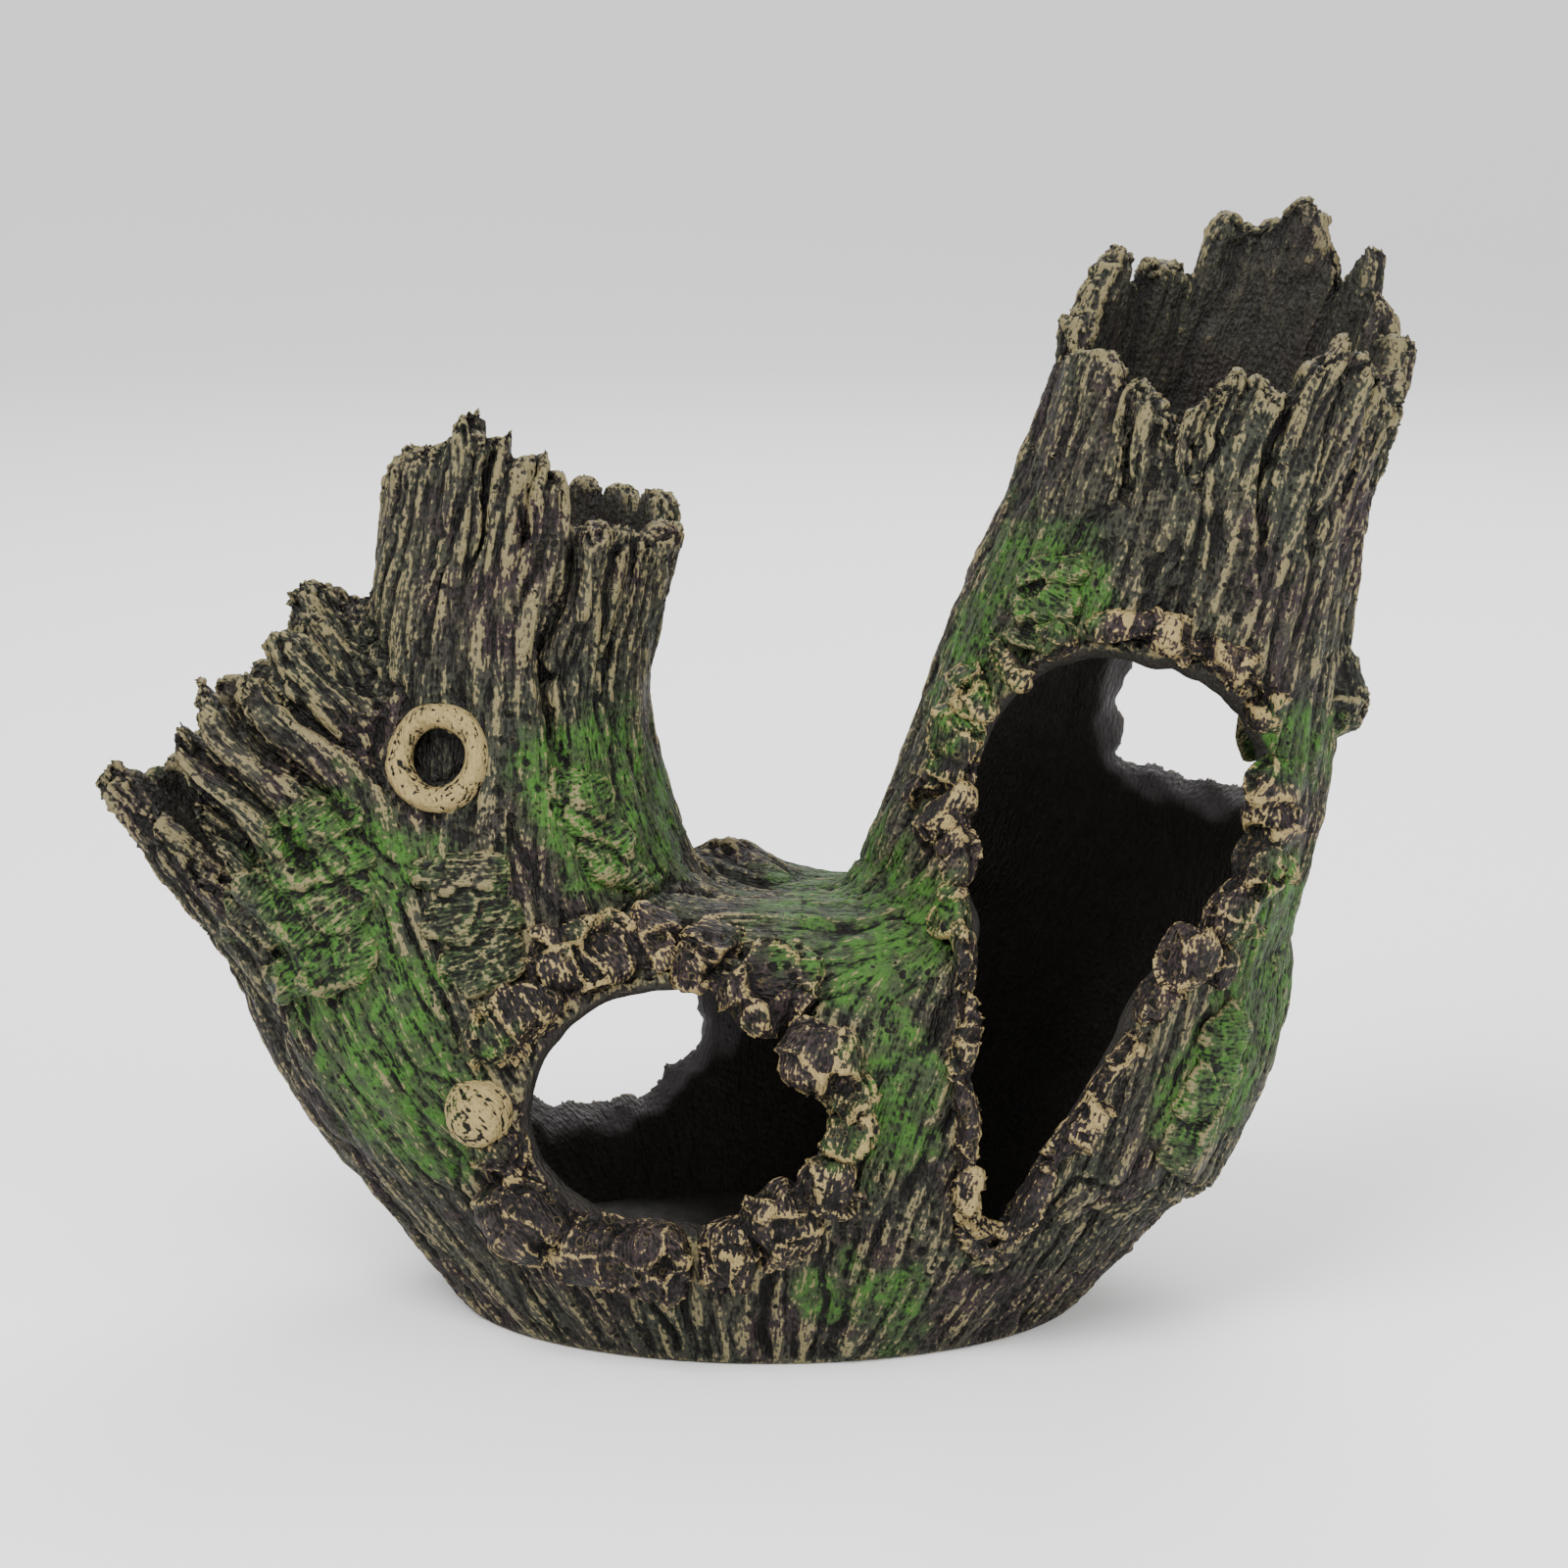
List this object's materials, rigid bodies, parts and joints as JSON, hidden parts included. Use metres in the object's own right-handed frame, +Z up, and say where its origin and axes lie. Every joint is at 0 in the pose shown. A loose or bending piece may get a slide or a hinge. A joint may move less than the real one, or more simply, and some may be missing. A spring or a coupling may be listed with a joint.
{
  "type": "aquarium cave ornament",
  "caption": "Hollow driftwood cave of painted resin: two broken logs and a side branch on a flat foot, with caves running through from front to back.",
  "frame": {"origin": "middle of the foot plate's flat underside, on the surface that the ornament stands on", "axes": "+X along the width towards the tall log, +Y from the front caves to the back, +Z up"},
  "size_m": [0.1787, 0.0788, 0.1502],
  "materials": {
    "painted_bark": "cast resin painted as bark: dark wash in the grooves, tan dry-brushed on the ridges, green moss airbrushed on",
    "rim_paint": "cast resin with purple-brown facets and tan dry-brushed ridges and pits",
    "moss_paint": "cast resin with airbrushed moss green and tan dry-brushed edges",
    "bare_resin": "smooth dark cast resin, rubbed flat underneath"
  },
  "bodies": {
    "root": {"foot_plate": "bare_resin", "left_front_shell": "painted_bark", "left_rear_shell": "painted_bark", "right_front_shell": "painted_bark", "right_rear_shell": "painted_bark", "tall_stump": "painted_bark", "left_stump": "painted_bark", "side_branch": "painted_bark", "lower_cave_rim": "rim_paint", "upper_cave_rim": "rim_paint", "cave_knob": "rim_paint", "knot_ring": "rim_paint", "twig_stub": "painted_bark", "side_bark_shelf": "moss_paint", "middle_bark_shelf": "moss_paint", "stump_bark_shelf": "moss_paint", "tall_bark_shelf": "moss_paint", "foot_bark_shelf": "moss_paint"}
  },
  "joints": []
}
